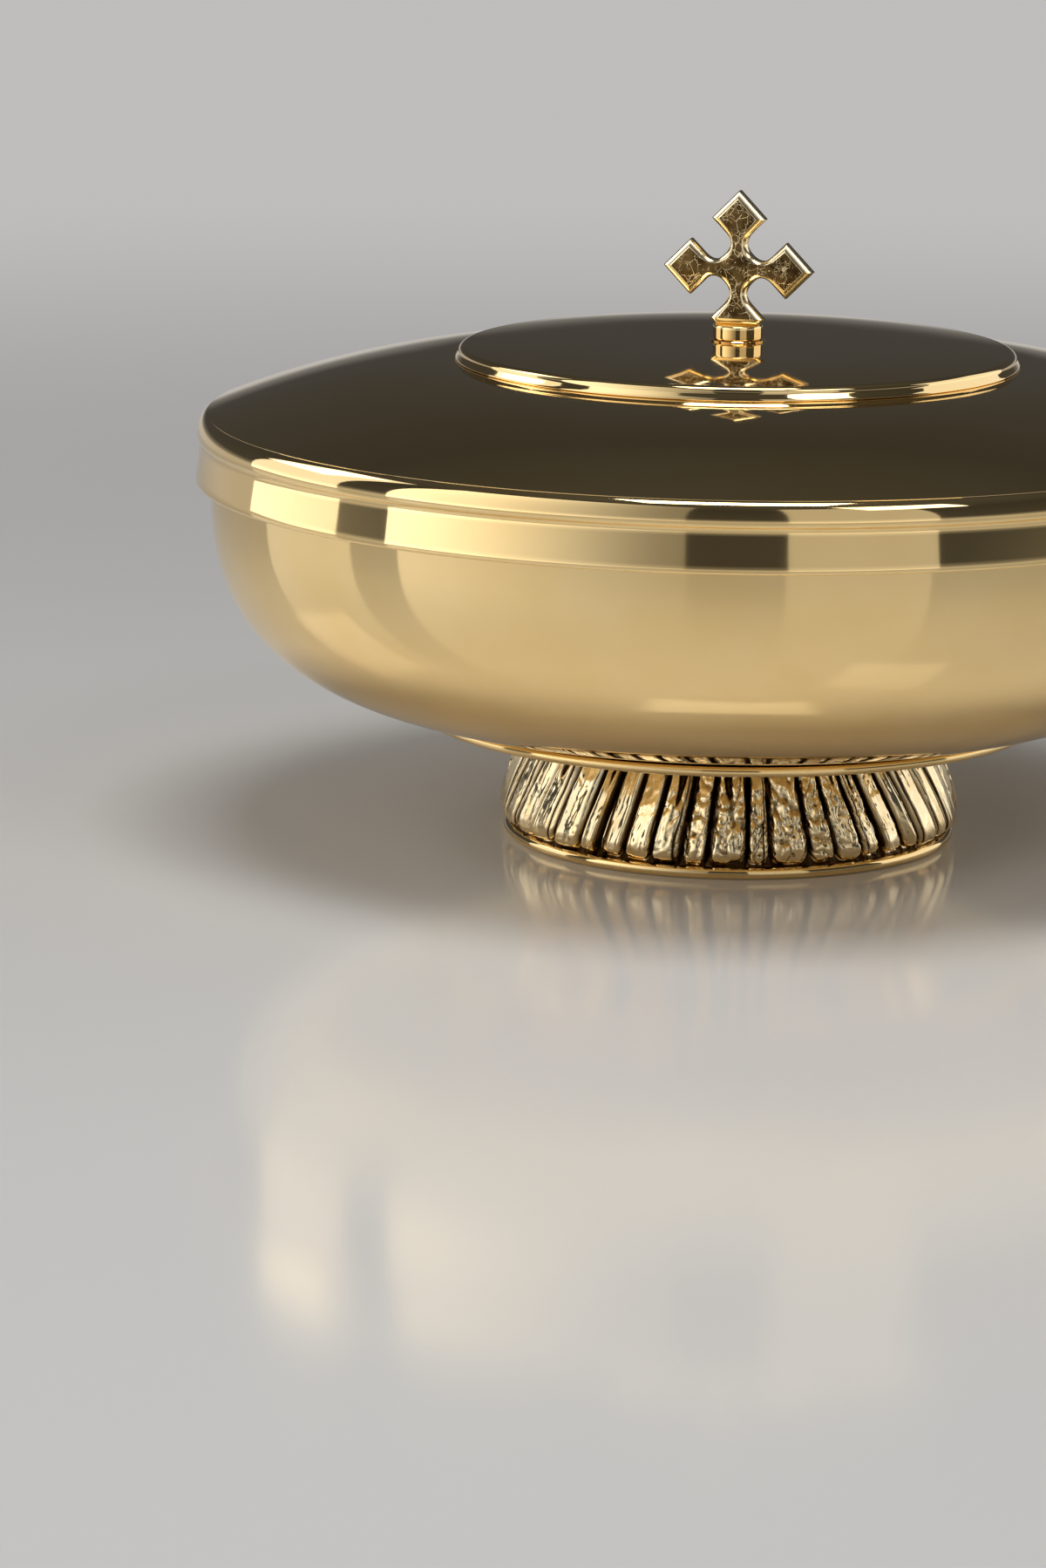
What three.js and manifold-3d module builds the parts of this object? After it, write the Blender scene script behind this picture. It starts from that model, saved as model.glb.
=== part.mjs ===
// Ciborium: a wide polished cup on a low cast foot, with a lift-off lid that carries a cross.
// Millimetres, +Z up. The origin is the centre of the ring that the foot stands on.
import * as THREE from 'three';
import { mergeVertices } from 'three/addons/utils/BufferGeometryUtils.js';
import Module from 'manifold-3d';

const wasm = await Module();
wasm.setup();

// Facets round the axis. All are multiples of four, so each piece reaches its full width along X and Y.
const FINE = 48;
const MEDIUM = 32;
const COARSE = 20;

// Radial play where a plain bolt or spigot passes through a hole
const PLAY = 0.1;

// Heights of the foot, from the table up
const RING_TOP = 1.9;
const FLANGE_UNDERSIDE = 19.1;
const FLANGE_TOP = 20.8;

// Foot band: a cast ring with rough flutes, widest just above its lower edge and drawn in at the top
const BAND_BORE = 33.6;
const BAND_BORE_TOP = 28.4;
const BAND_BORE_KNEE = 7;
const BAND_WIDEST = 36.9;
const BAND_WIDEST_HEIGHT = 4.6;
const BAND_TOP_RADIUS = 32;
const BAND_TUCK = 0.6;
const BAND_CURVE = 1.25;
const BAND_LEVELS = [3.1, BAND_WIDEST_HEIGHT, 8.5, 12.5, 16, 18.6];
const FLUTE_COUNT = 46;
const FLUTE_DEPTH = 0.7;
const FLUTE_STEPS = 3;
const FLUTE_FAN = 0.2;
const SCALLOP_HEIGHT = 0.9;

// Base ring: the smooth ring that meets the table, with a spigot inside the band
const RING_RADIUS = 35.9;
const RING_SEAT_RADIUS = 35.2;
const RING_BORE = 32.3;
const RING_LIP_BORE = 29;
const RING_LIP_UNDERSIDE = 2.2;
const RING_LIP_TOP = 3.6;

// Parts that draw the foot up against the cup
const ROD_RADIUS = 3;
const ROD_BOTTOM = 1.2;
const ROD_TOP = 19.2;
const BOSS_RADIUS = 7;
const BOSS_BOTTOM = 14.8;
const PLATE_THICKNESS = 1.5;
const PLATE_CROWN_UNDERSIDE = 9.3;
const PLATE_CROWN_RADIUS = 12;
const PLATE_RIM_RADIUS = 24;
const FOOT_NUT_WIDTH = 10;
const FOOT_NUT_HEIGHT = 5;
const FOOT_WASHER_RADIUS = 6.4;
const FOOT_WASHER_HEIGHT = 1.2;
const SPRING_WASHER_RADIUS = 5.4;
const SPRING_WASHER_HEIGHT = 1.4;

// Flange plate between the foot and the cup
const FLANGE_RADIUS = 49.8;
const FLANGE_SPIGOT_OUTER = 28.2;
const FLANGE_SPIGOT_INNER = 26.8;
const FLANGE_SPIGOT_DROP = 1.2;

// Cup: flat under the middle, then one full round up to an upright wall
const CUP_FLAT_RADIUS = 35.5;
const CUP_RADIUS = 82.65;
const CUP_ROUND_TOP = 56.3;
const CUP_ROUNDNESS = 2.59;
const CUP_WALL = 1.2;
const CUP_MOUTH = 63.4;
const RIM_RING_RADIUS = 83.7;
const RIM_RING_BOTTOM = 60.9;
const RIM_RING_TOP = 63.5;

// Lid band: the skirt outside the cup's mouth and the bead above it
const SKIRT_BOTTOM = 56.4;
const SKIRT_RADIUS = 85;
const SKIRT_BORE = 83.9;
const CREASE_HEIGHT = 63.3;
const CREASE_RADIUS = 84.35;
const BEAD_ROUND = 1.8;
const BEAD_HEIGHT = 65.2;
const LID_SEAT = 63.6;
const LID_SEAT_BORE = 81;
const DOME_SEAT = 65.9;
const DOME_SEAT_RADIUS = 83.2;

// Lid dome: flat under the disc, then falling ever faster to the band
const DOME_TOP = 75.6;
const DOME_FLAT_RADIUS = 44;
const DOME_REACH = 41;
const DOME_DROP = 9.3;
const DOME_CURVE = 1.8;
const DOME_WALL = 1;

// Raised disc on the dome: nearly flat in the middle, rounding off towards its edge
const DISC_RADIUS = 44.4;
const DISC_SHOULDER_RADIUS = 43.8;
const DISC_SHOULDER_HEIGHT = 1.35;
const DISC_EDGE_REACH = 1.08;
const DISC_EDGE_RISE = 0.8;
const DISC_CROWN = 1.05;
const DISC_CROWN_POWER = 4;
const DISC_TOP = DOME_TOP + DISC_SHOULDER_HEIGHT + DISC_EDGE_RISE + DISC_CROWN;

// Finial on the disc: washer, post and cross, held by a stud and a nut inside the lid
const FINIAL_WASHER_RADIUS = 4.3;
const FINIAL_WASHER_HEIGHT = 0.3;
const POST_RADIUS = 3.9;
const POST_HEIGHT = 2.3;
const POST_EDGE = 0.25;
const POST_BOTTOM = DISC_TOP + FINIAL_WASHER_HEIGHT;
const POST_TOP = POST_BOTTOM + POST_HEIGHT;
const STUD_RADIUS = 1.5;
const STUD_BOTTOM = 70.8;
const STUD_DEPTH_IN_POST = 1.5;
const LID_WASHER_RADIUS = 6;
const LID_WASHER_HEIGHT = 1;
const LID_NUT_WIDTH = 5.5;
const LID_NUT_HEIGHT = 2.4;

// Cross: five equal diamonds, the lowest cut off level just below its widest line
const DIAMOND_HALF = 4.4;
const DIAMOND_SPACING = 7.85;
const NECK_REACH = 1.7;
const NECK_STEPS = 4;
const CROSS_CUT = 0.95;
const CROSS_THICKNESS = 2.6;
const CROSS_BEVEL = 0.4;
const CROSS_TURN = THREE.MathUtils.degToRad(-18);

// Materials
const polishedGold = { color: 0xe3c07c, roughness: 0.08, metalness: 1 };
const castGold = { color: 0xe6c88a, roughness: 0.28, metalness: 1 };
const scratchedGold = { color: 0xcfae70, roughness: 0.36, metalness: 1 };
const plainBrass = { color: 0xb89b5a, roughness: 0.42, metalness: 1 };
const brightSteel = { color: 0xb9bcc0, roughness: 0.35, metalness: 1 };

// A closed geometry with shared corners, no empty triangles and its faces turned outwards
function closeGeometry(source) {
  const bare = source.index ? source.toNonIndexed() : source.clone();
  bare.deleteAttribute('normal');
  bare.deleteAttribute('uv');
  const merged = mergeVertices(bare, 1e-5);
  const corners = merged.index.array;
  const kept = [];
  for (let i = 0; i < corners.length; i += 3) {
    const [a, b, c] = [corners[i], corners[i + 1], corners[i + 2]];
    if (a !== b && b !== c && c !== a) kept.push(a, b, c);
  }
  merged.setIndex(signedVolume(merged, kept) < 0 ? kept.reverse() : kept);
  return merged;
}

// Six times the enclosed volume, positive when the faces point out
function signedVolume(geometry, corners) {
  const place = geometry.getAttribute('position');
  const [a, b, c] = [new THREE.Vector3(), new THREE.Vector3(), new THREE.Vector3()];
  let total = 0;
  for (let i = 0; i < corners.length; i += 3) {
    a.fromBufferAttribute(place, corners[i]);
    b.fromBufferAttribute(place, corners[i + 1]);
    c.fromBufferAttribute(place, corners[i + 2]);
    total += a.dot(b.cross(c));
  }
  return total;
}

// A solid turned about Z from [radius, height] points that start and end on the axis
function turnedSolid(outline, facets) {
  const profile = outline.map(([radius, height]) => new THREE.Vector2(radius, height));
  const geometry = new THREE.LatheGeometry(profile, facets);
  geometry.rotateX(Math.PI / 2);
  return closeGeometry(geometry);
}

// A ring or shell turned about Z, from an outline that is closed here on its first point
function turned(outline, facets) {
  return turnedSolid([...outline, outline[0]], facets);
}

function piece(name, geometry, look) {
  const mesh = new THREE.Mesh(geometry, new THREE.MeshStandardMaterial(look));
  mesh.name = name;
  return mesh;
}

// A closed geometry as a solid that can be cut
function toSolid(geometry) {
  const vertProperties = new Float32Array(geometry.getAttribute('position').array);
  const triVerts = new Uint32Array(geometry.index.array);
  return new wasm.Manifold(new wasm.Mesh({ numProp: 3, vertProperties, triVerts }));
}

function fromSolid(solid) {
  const { vertProperties, triVerts } = solid.getMesh();
  const geometry = new THREE.BufferGeometry();
  geometry.setAttribute('position', new THREE.BufferAttribute(new Float32Array(vertProperties), 3));
  geometry.setIndex([...triVerts]);
  return closeGeometry(geometry);
}

// A hexagonal nut with a round bore, chamfered at both ends by a turned solid
function nutGeometry(width, height, bore, bottom) {
  const corner = width / Math.sqrt(3);
  const chamfer = corner - width / 2;
  const hexagon = new THREE.Shape();
  for (let i = 0; i < 6; i += 1) {
    const angle = (i * Math.PI) / 3;
    const point = [corner * Math.cos(angle), corner * Math.sin(angle)];
    if (i === 0) hexagon.moveTo(...point);
    else hexagon.lineTo(...point);
  }
  hexagon.closePath();
  const block = new THREE.ExtrudeGeometry(hexagon, { depth: height, bevelEnabled: false });
  block.translate(0, 0, bottom);
  const top = bottom + height;
  const rounder = turned([
    [bore, bottom], [corner - chamfer, bottom], [corner + PLAY, bottom + chamfer * 0.7],
    [corner + PLAY, top - chamfer * 0.7], [corner - chamfer, top], [bore, top],
  ], COARSE);
  return fromSolid(toSolid(closeGeometry(block)).intersect(toSolid(rounder)));
}

function washerGeometry(bore, radius, bottom, top) {
  return turned([[bore, bottom], [radius, bottom], [radius, top], [bore, top]], COARSE);
}

// Height of the dome's outer face at a radius
function domeHeight(radius) {
  const reach = Math.max(0, radius - DOME_FLAT_RADIUS) / DOME_REACH;
  return DOME_TOP - DOME_DROP * reach ** DOME_CURVE;
}

// The cup's outer or inner face from the flat bottom to the wall, set in by a distance
function cupCurve(inset, steps) {
  const bottom = FLANGE_TOP + inset;
  const flat = CUP_FLAT_RADIUS;
  const points = [];
  for (let i = 0; i <= steps; i += 1) {
    const turn = (i / steps) * (Math.PI / 2);
    const across = Math.sin(turn) ** (2 / CUP_ROUNDNESS);
    const up = 1 - Math.cos(turn) ** (2 / CUP_ROUNDNESS);
    points.push([
      flat + (CUP_RADIUS - inset - flat) * across,
      bottom + (CUP_ROUND_TOP - bottom) * up,
    ]);
  }
  return points;
}

function buildBaseRing() {
  return turned([
    [RING_BORE, 0], [RING_RADIUS - 0.8, 0], [RING_RADIUS - 0.25, 0.25], [RING_RADIUS, 0.85],
    [RING_RADIUS - 0.2, 1.5], [RING_SEAT_RADIUS, RING_TOP],
    [BAND_BORE - PLAY, RING_TOP], [BAND_BORE - PLAY, RING_LIP_TOP], [RING_LIP_BORE, RING_LIP_TOP],
    [RING_LIP_BORE, RING_LIP_UNDERSIDE], [RING_BORE, RING_LIP_UNDERSIDE],
  ], FINE);
}

// Outer radius of the foot band at a height, before the flutes
function bandRadius(height) {
  if (height < BAND_WIDEST_HEIGHT) {
    const below = (BAND_WIDEST_HEIGHT - height) / (BAND_WIDEST_HEIGHT - RING_TOP);
    return BAND_WIDEST - BAND_TUCK * below ** 2;
  }
  const above = (height - BAND_WIDEST_HEIGHT) / (FLANGE_UNDERSIDE - BAND_WIDEST_HEIGHT);
  return BAND_WIDEST - (BAND_WIDEST - BAND_TOP_RADIUS) * above ** BAND_CURVE;
}

// Direction of a flute at a height: uneven widths round the ring, and feet that fan out to both sides
function fluteAngle(turn, height) {
  const uneven = 0.02 * Math.sin(5 * turn + 1) + 0.011 * Math.sin(11 * turn + 0.4);
  const fan = 0.03 * Math.sin(3 * turn) - FLUTE_FAN * Math.cos(turn);
  return turn + uneven + fan * ((height - RING_TOP) / (FLANGE_UNDERSIDE - RING_TOP));
}

// One closed band of rows of points, each row running once round the ring
function buildFootBand() {
  const columns = FLUTE_COUNT * FLUTE_STEPS;
  const positions = [];
  const pushRow = (radiusAt, heightAt) => {
    for (let column = 0; column < columns; column += 1) {
      const turn = (column / columns) * Math.PI * 2;
      const rib = Math.abs(Math.sin((FLUTE_COUNT * turn) / 2)) ** 0.6;
      const height = heightAt(rib);
      const angle = fluteAngle(turn, height);
      const radius = radiusAt(rib, height);
      positions.push(radius * Math.cos(angle), radius * Math.sin(angle), height);
    }
  };
  const fluted = (rib, height) => bandRadius(height) - FLUTE_DEPTH * (1 - rib);
  pushRow(() => BAND_BORE, () => RING_TOP);
  pushRow(() => RING_SEAT_RADIUS, () => RING_TOP);
  pushRow(fluted, (rib) => RING_TOP + 0.25 + SCALLOP_HEIGHT * (1 - rib));
  BAND_LEVELS.forEach((level, i) => {
    const raise = i === 0 ? 0.3 : 0;
    pushRow(fluted, (rib) => level + raise * (1 - rib));
  });
  pushRow(() => BAND_TOP_RADIUS - 0.35, () => FLANGE_UNDERSIDE);
  pushRow(() => BAND_BORE_TOP, () => FLANGE_UNDERSIDE);
  pushRow(() => BAND_BORE, () => BAND_BORE_KNEE);
  const rows = positions.length / 3 / columns;
  const corners = [];
  for (let row = 0; row < rows; row += 1) {
    for (let column = 0; column < columns; column += 1) {
      const here = row * columns + column;
      const beside = row * columns + ((column + 1) % columns);
      const above = ((row + 1) % rows) * columns + column;
      const across = ((row + 1) % rows) * columns + ((column + 1) % columns);
      corners.push(here, beside, across, here, across, above);
    }
  }
  const geometry = new THREE.BufferGeometry();
  geometry.setAttribute('position', new THREE.Float32BufferAttribute(positions, 3));
  geometry.setIndex(corners);
  return closeGeometry(geometry);
}

// Dished plate: its edge bears up against the base ring's lip, its crown leaves room for the nut
function buildClampPlate() {
  const edgeTop = RING_LIP_UNDERSIDE;
  const edgeUnderside = edgeTop - PLATE_THICKNESS;
  const crownTop = PLATE_CROWN_UNDERSIDE + PLATE_THICKNESS;
  return turned([
    [ROD_RADIUS + PLAY, PLATE_CROWN_UNDERSIDE], [PLATE_CROWN_RADIUS, PLATE_CROWN_UNDERSIDE],
    [PLATE_RIM_RADIUS, edgeUnderside], [RING_BORE - 0.2, edgeUnderside], [RING_BORE - 0.2, edgeTop],
    [PLATE_RIM_RADIUS + 0.8, edgeTop], [PLATE_CROWN_RADIUS + 0.8, crownTop],
    [ROD_RADIUS + PLAY, crownTop],
  ], MEDIUM);
}

function buildTieRod() {
  const chamfer = 0.5;
  return turnedSolid([
    [0, ROD_BOTTOM], [ROD_RADIUS - chamfer, ROD_BOTTOM], [ROD_RADIUS, ROD_BOTTOM + chamfer],
    [ROD_RADIUS, ROD_TOP - chamfer], [ROD_RADIUS - chamfer, ROD_TOP], [0, ROD_TOP],
  ], COARSE);
}

// Split spring washer: a ring with a narrow slit
function buildSpringWasher(top) {
  const bore = ROD_RADIUS + PLAY;
  const slit = 0.12;
  const ring = new THREE.Shape();
  ring.absarc(0, 0, SPRING_WASHER_RADIUS, slit, Math.PI * 2 - slit, false);
  ring.absarc(0, 0, bore, Math.PI * 2 - slit, slit, true);
  ring.closePath();
  const geometry = new THREE.ExtrudeGeometry(ring, {
    depth: SPRING_WASHER_HEIGHT, bevelEnabled: false, curveSegments: COARSE,
  });
  geometry.translate(0, 0, top - SPRING_WASHER_HEIGHT);
  return closeGeometry(geometry);
}

function buildFlangePlate() {
  const middle = (FLANGE_UNDERSIDE + FLANGE_TOP) / 2;
  const spigotFoot = FLANGE_UNDERSIDE - FLANGE_SPIGOT_DROP;
  return turned([
    [BOSS_RADIUS + PLAY, FLANGE_UNDERSIDE], [FLANGE_SPIGOT_INNER, FLANGE_UNDERSIDE],
    [FLANGE_SPIGOT_INNER, spigotFoot], [FLANGE_SPIGOT_OUTER, spigotFoot],
    [FLANGE_SPIGOT_OUTER, FLANGE_UNDERSIDE], [FLANGE_RADIUS - 0.6, FLANGE_UNDERSIDE],
    [FLANGE_RADIUS - 0.1, FLANGE_UNDERSIDE + 0.4], [FLANGE_RADIUS, middle],
    [FLANGE_RADIUS - 0.2, FLANGE_TOP - 0.3], [FLANGE_RADIUS - 0.8, FLANGE_TOP],
    [BOSS_RADIUS + PLAY, FLANGE_TOP],
  ], FINE);
}

// Boss brazed under the cup, with a blind threaded hole for the tie rod
function buildCupBoss() {
  const bore = ROD_RADIUS + PLAY;
  return turnedSolid([
    [0, ROD_TOP + PLAY], [bore, ROD_TOP + PLAY], [bore, BOSS_BOTTOM], [BOSS_RADIUS - 0.4, BOSS_BOTTOM],
    [BOSS_RADIUS, BOSS_BOTTOM + 0.4], [BOSS_RADIUS, FLANGE_TOP], [0, FLANGE_TOP],
  ], COARSE);
}

function buildCup() {
  const outside = cupCurve(0, 12);
  const inside = cupCurve(CUP_WALL, 10).reverse();
  const lip = CUP_RADIUS - CUP_WALL / 2;
  return turnedSolid([
    [0, FLANGE_TOP], ...outside, [CUP_RADIUS, CUP_MOUTH - 0.4], [lip, CUP_MOUTH],
    [CUP_RADIUS - CUP_WALL, CUP_MOUTH - 0.4], ...inside, [0, FLANGE_TOP + CUP_WALL],
  ], FINE);
}

// Stiffening ring brazed round the outside of the mouth, which also centres the lid
function buildCupRimRing() {
  const bore = CUP_RADIUS + 0.03;
  return turned([
    [bore, RIM_RING_BOTTOM], [RIM_RING_RADIUS - 0.4, RIM_RING_BOTTOM + 0.2],
    [RIM_RING_RADIUS, RIM_RING_BOTTOM + 0.9], [RIM_RING_RADIUS, RIM_RING_TOP - 0.5],
    [RIM_RING_RADIUS - 0.5, RIM_RING_TOP], [bore, RIM_RING_TOP],
  ], FINE);
}

// Skirt with a step inside for the cup's mouth, a crisp crease, and a bead that ends at the dome's seat
function buildLidBand() {
  const steps = 5;
  const bead = [];
  for (let i = 0; i <= steps; i += 1) {
    const turn = THREE.MathUtils.degToRad(-50 + (140 * i) / steps);
    bead.push([
      DOME_SEAT_RADIUS + BEAD_ROUND * Math.cos(turn), BEAD_HEIGHT + BEAD_ROUND * Math.sin(turn),
    ]);
  }
  return turned([
    [SKIRT_BORE, SKIRT_BOTTOM + 0.3], [SKIRT_BORE + 0.3, SKIRT_BOTTOM],
    [SKIRT_RADIUS - 0.35, SKIRT_BOTTOM], [SKIRT_RADIUS, SKIRT_BOTTOM + 0.4],
    [CREASE_RADIUS, CREASE_HEIGHT], ...bead, [DOME_SEAT_RADIUS, DOME_SEAT],
    [LID_SEAT_BORE, DOME_SEAT], [LID_SEAT_BORE, LID_SEAT], [SKIRT_BORE, LID_SEAT],
  ], FINE);
}

function buildLidDome() {
  const hole = STUD_RADIUS + 0.2;
  const edge = DOME_SEAT_RADIUS - PLAY;
  const steps = 8;
  const outside = [];
  for (let i = 0; i <= steps; i += 1) {
    const radius = DOME_FLAT_RADIUS + (edge - DOME_FLAT_RADIUS) * (i / steps);
    outside.push([radius, domeHeight(radius)]);
  }
  const inside = outside.slice(0, -1).map(([radius, height]) => [radius, height - DOME_WALL]).reverse();
  return turned([
    [hole, DOME_TOP], ...outside, [edge, DOME_SEAT], [edge - 1.4, DOME_SEAT], ...inside,
    [hole, DOME_TOP - DOME_WALL],
  ], FINE);
}

function buildLidDisc() {
  const hole = STUD_RADIUS + 0.2;
  const shoulder = DOME_TOP + DISC_SHOULDER_HEIGHT;
  const edge = DISC_SHOULDER_RADIUS - DISC_EDGE_REACH;
  const points = [[hole, DOME_TOP], [DISC_RADIUS - 0.15, DOME_TOP], [DISC_RADIUS, DOME_TOP + 0.2]];
  for (let i = 0; i <= 3; i += 1) {
    const turn = (i / 3) * (Math.PI / 2);
    points.push([
      edge + (DISC_SHOULDER_RADIUS - edge) * Math.cos(turn),
      shoulder + DISC_EDGE_RISE * Math.sin(turn),
    ]);
  }
  for (let i = 1; i <= 4; i += 1) {
    const outwards = 1 - (i / 4) ** 1.5;
    const radius = hole + (edge - hole) * outwards;
    points.push([radius, DISC_TOP - DISC_CROWN * outwards ** DISC_CROWN_POWER]);
  }
  return turned(points, FINE);
}

function buildFinialPost() {
  const bore = STUD_RADIUS + PLAY;
  const roof = POST_BOTTOM + STUD_DEPTH_IN_POST + PLAY;
  return turnedSolid([
    [0, roof], [bore, roof], [bore, POST_BOTTOM], [POST_RADIUS - POST_EDGE, POST_BOTTOM],
    [POST_RADIUS, POST_BOTTOM + POST_EDGE], [POST_RADIUS, POST_TOP - POST_EDGE],
    [POST_RADIUS - POST_EDGE, POST_TOP], [0, POST_TOP],
  ], MEDIUM);
}

function buildFinialStud() {
  const top = POST_BOTTOM + STUD_DEPTH_IN_POST;
  const chamfer = 0.3;
  return turnedSolid([
    [0, STUD_BOTTOM], [STUD_RADIUS - chamfer, STUD_BOTTOM], [STUD_RADIUS, STUD_BOTTOM + chamfer],
    [STUD_RADIUS, top], [0, top],
  ], COARSE);
}

// Outline points from the tip of one arm to just before the tip of the next, a quarter turn on
function crossQuarter() {
  const neckCorner = [DIAMOND_SPACING / 2, DIAMOND_HALF - DIAMOND_SPACING / 2];
  const outer = [neckCorner[0] + NECK_REACH, neckCorner[1] + NECK_REACH];
  const inner = [neckCorner[0] - NECK_REACH, neckCorner[1] + NECK_REACH];
  const fillet = new THREE.QuadraticBezierCurve(
    new THREE.Vector2(...outer), new THREE.Vector2(...neckCorner), new THREE.Vector2(...inner),
  );
  const first = fillet.getPoints(NECK_STEPS).map((point) => [point.x, point.y]);
  const second = first.map(([x, y]) => [y, x]).reverse();
  return [
    [DIAMOND_SPACING + DIAMOND_HALF, 0], [DIAMOND_SPACING, DIAMOND_HALF],
    ...first, ...second, [DIAMOND_HALF, DIAMOND_SPACING],
  ];
}

// The cross stands upright in XZ, with its cut foot level at the height given
function buildCross(foot) {
  const cutLevel = -DIAMOND_SPACING - CROSS_CUT;
  const centre = new THREE.Vector2();
  const outline = [];
  for (let quarter = 0; quarter < 4; quarter += 1) {
    crossQuarter().forEach(([x, y]) => {
      outline.push(new THREE.Vector2(x, y).rotateAround(centre, (quarter * Math.PI) / 2));
    });
  }
  const kept = [];
  const cutHalf = DIAMOND_HALF - CROSS_CUT;
  outline.forEach((point) => {
    if (point.y > cutLevel) kept.push(point);
    else kept.push(new THREE.Vector2(-cutHalf, cutLevel), new THREE.Vector2(cutHalf, cutLevel));
  });
  const geometry = new THREE.ExtrudeGeometry(new THREE.Shape(kept), {
    depth: CROSS_THICKNESS - 2 * CROSS_BEVEL, bevelEnabled: true, bevelSegments: 1,
    bevelSize: CROSS_BEVEL, bevelThickness: CROSS_BEVEL, bevelOffset: -CROSS_BEVEL,
  });
  geometry.translate(0, -cutLevel, CROSS_BEVEL - CROSS_THICKNESS / 2);
  geometry.rotateX(Math.PI / 2);
  geometry.translate(0, 0, foot);
  return closeGeometry(geometry);
}

// Foot and cup, which stay on the table
function buildVessel() {
  const vessel = new THREE.Group();
  const washerTop = PLATE_CROWN_UNDERSIDE;
  const springTop = washerTop - FOOT_WASHER_HEIGHT;
  const nutBottom = springTop - SPRING_WASHER_HEIGHT - FOOT_NUT_HEIGHT;
  const threadBore = ROD_RADIUS + PLAY;
  const washer = washerGeometry(threadBore, FOOT_WASHER_RADIUS, springTop, washerTop);
  const nut = nutGeometry(FOOT_NUT_WIDTH, FOOT_NUT_HEIGHT, threadBore, nutBottom);
  vessel.add(
    piece('base_ring', buildBaseRing(), polishedGold),
    piece('foot_band', buildFootBand(), castGold),
    piece('foot_clamp_plate', buildClampPlate(), plainBrass),
    piece('foot_washer', washer, brightSteel),
    piece('foot_spring_washer', buildSpringWasher(springTop), brightSteel),
    piece('foot_nut', nut, brightSteel),
    piece('tie_rod', buildTieRod(), brightSteel),
    piece('flange_plate', buildFlangePlate(), polishedGold),
    piece('cup_boss', buildCupBoss(), plainBrass),
    piece('cup', buildCup(), polishedGold),
    piece('cup_rim_ring', buildCupRimRing(), polishedGold),
  );
  return vessel;
}

// Lid and finial, which lift off together
function buildLid() {
  const lid = new THREE.Group();
  const washerTop = DOME_TOP - DOME_WALL;
  const nutTop = washerTop - LID_WASHER_HEIGHT;
  const threadBore = STUD_RADIUS + PLAY;
  const collar = washerGeometry(threadBore, FINIAL_WASHER_RADIUS, DISC_TOP, POST_BOTTOM);
  const washer = washerGeometry(threadBore, LID_WASHER_RADIUS, nutTop, washerTop);
  const nut = nutGeometry(LID_NUT_WIDTH, LID_NUT_HEIGHT, threadBore, nutTop - LID_NUT_HEIGHT);
  const cross = piece('finial_cross', buildCross(POST_TOP), scratchedGold);
  cross.rotation.z = CROSS_TURN;
  lid.add(
    piece('lid_band', buildLidBand(), polishedGold),
    piece('lid_dome', buildLidDome(), polishedGold),
    piece('lid_disc', buildLidDisc(), polishedGold),
    piece('finial_washer', collar, polishedGold),
    piece('finial_post', buildFinialPost(), polishedGold),
    cross,
    piece('finial_stud', buildFinialStud(), brightSteel),
    piece('lid_washer', washer, plainBrass),
    piece('lid_nut', nut, plainBrass),
  );
  return lid;
}

const ciborium = new THREE.Group();
ciborium.add(buildVessel(), buildLid());

export default ciborium;
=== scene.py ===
import math
import random

import bmesh
import bpy
from mathutils import Matrix, Vector, noise


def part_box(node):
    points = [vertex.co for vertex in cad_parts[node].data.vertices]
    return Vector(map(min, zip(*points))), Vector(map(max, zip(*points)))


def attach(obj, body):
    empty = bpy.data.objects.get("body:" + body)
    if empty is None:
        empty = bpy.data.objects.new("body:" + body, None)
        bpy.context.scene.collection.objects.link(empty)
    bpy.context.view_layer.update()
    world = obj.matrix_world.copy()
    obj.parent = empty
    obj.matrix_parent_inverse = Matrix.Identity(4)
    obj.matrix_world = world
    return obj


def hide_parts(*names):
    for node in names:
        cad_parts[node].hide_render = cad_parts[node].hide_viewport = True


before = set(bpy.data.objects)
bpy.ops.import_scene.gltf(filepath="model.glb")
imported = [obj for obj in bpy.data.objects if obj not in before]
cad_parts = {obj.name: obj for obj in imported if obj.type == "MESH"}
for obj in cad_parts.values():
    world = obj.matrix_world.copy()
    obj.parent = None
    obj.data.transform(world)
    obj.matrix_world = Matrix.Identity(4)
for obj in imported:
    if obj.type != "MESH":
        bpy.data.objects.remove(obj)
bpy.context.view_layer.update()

# Profiles are (radius, height) points in millimetres, as in the solids. Meshes are in metres.
MM = 0.001


def low(node):
    """Height of a solid's underside, in millimetres."""
    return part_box(node)[0].z / MM


def high(node):
    """Height of a solid's top, in millimetres."""
    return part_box(node)[1].z / MM


def reach(node):
    """Outer radius of a turned solid, in millimetres."""
    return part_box(node)[1].x / MM


# Columns round the axis
MIRROR_SMOOTH = 288
SMOOTH = 128
NUT_COLUMNS = 96
SMALL = 64

# Foot
RING_RADIUS = reach("base_ring")
RING_SEAT_RADIUS = RING_RADIUS - 0.7
RING_SEAT = low("foot_band")
RING_CHAMFER = 0.15
RING_ROUND = 0.95
RING_TOP = high("base_ring")
RING_BORE = 32.3
RING_LIP_BORE = 29
RING_LIP_UNDERSIDE = 2.2
BAND_TOP = high("foot_band")
BAND_BORE = 33.6
BAND_BORE_TOP = 28.4
BAND_BORE_KNEE = 7
BAND_WIDEST = 36.9
BAND_WIDEST_HEIGHT = 4.6
BAND_TOP_RADIUS = 32
BAND_TUCK = 0.6
BAND_TUCK_RISE = 0.8
BAND_CURVE = 1.25
FLUTE_COUNT = 46
FLUTE_DEPTH = 2.1
FLUTE_FAN = 0.2
FLUTE_COLUMNS = 22
FLUTE_ROWS = 64

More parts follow.
